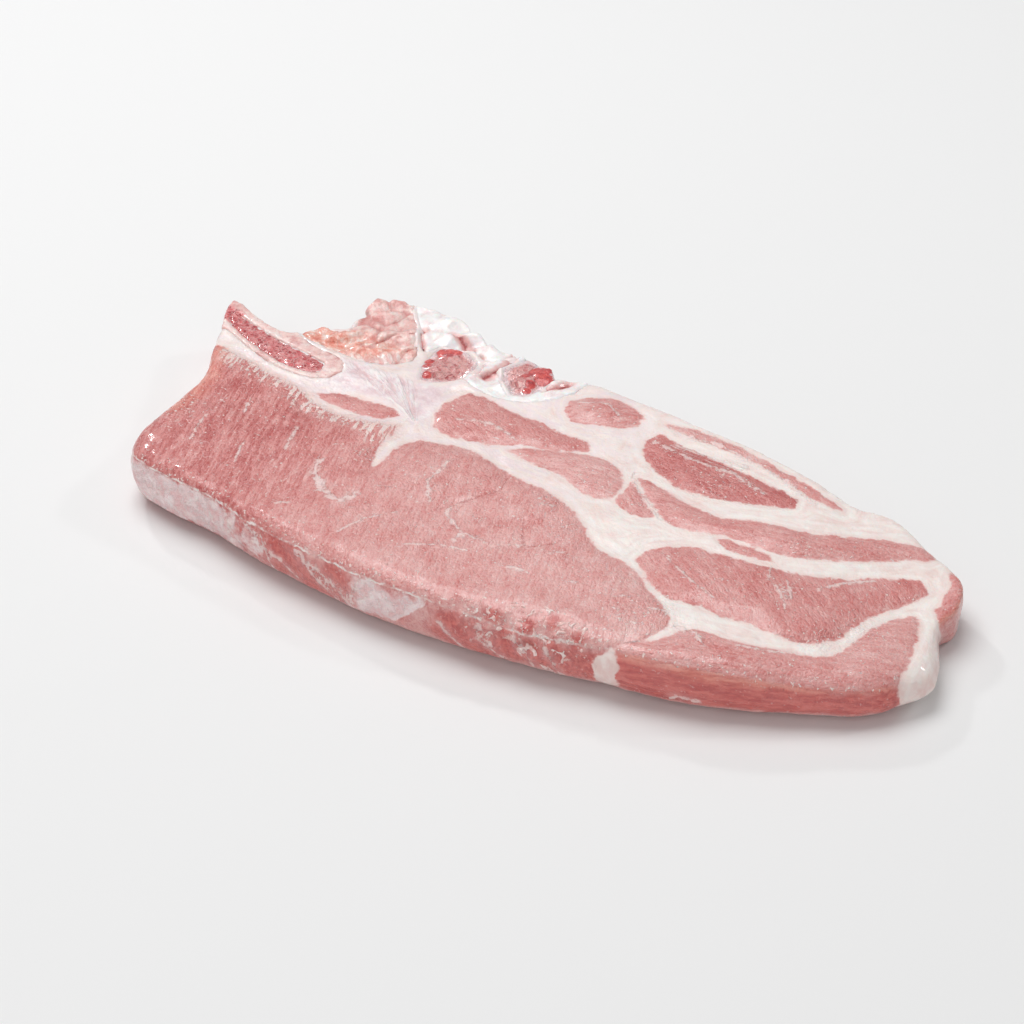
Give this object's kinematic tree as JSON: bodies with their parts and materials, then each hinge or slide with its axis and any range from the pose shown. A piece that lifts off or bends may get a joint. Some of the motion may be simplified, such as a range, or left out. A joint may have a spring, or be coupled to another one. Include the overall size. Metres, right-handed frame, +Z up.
{
  "type": "raw bone-in pork chop",
  "caption": "Flat raw pork rib chop with a sawn rib at one end, a large loin muscle, smaller muscles in seams of white fat and a torn edge of backbone.",
  "frame": {"origin": "centre of the slice's bounding box on the flat face it rests on", "axes": "+X along the length of the slice, from the rib's tip towards the flap end; +Y from the loin's outer edge towards the backbone edge; +Z up through the thickness"},
  "size_m": [0.2209, 0.0999, 0.0159],
  "materials": {
    "lean": "moist pale pink lean meat",
    "dark_lean": "moist darker pink lean meat",
    "rim_lean": "moist red lean meat of the outer rim",
    "fat": "soft satin off-white fat",
    "gristle": "smooth milky cartilage",
    "bone": "sawn pinkish ivory bone",
    "marrow": "wet spongy red marrow"
  },
  "bodies": {
    "root": {"loin_eye": "lean", "lens_muscle": "lean", "round_muscle": "lean", "back_muscle": "lean", "long_wedge": "lean", "long_muscle": "lean", "thin_muscle": "lean", "end_muscle": "lean", "left_muscle": "dark_lean", "dark_muscle": "dark_lean", "rib_muscle": "dark_lean", "right_muscle": "dark_lean", "flap_muscle": "rim_lean", "chine_trim": "rim_lean", "seam_fat": "fat", "rib_cartilage": "gristle", "chine_gristle_left": "gristle", "chine_gristle_right": "gristle", "rib_bone": "bone", "rib_marrow": "marrow", "chine_bone_left": "marrow", "chine_bone_right": "marrow"}
  },
  "joints": []
}
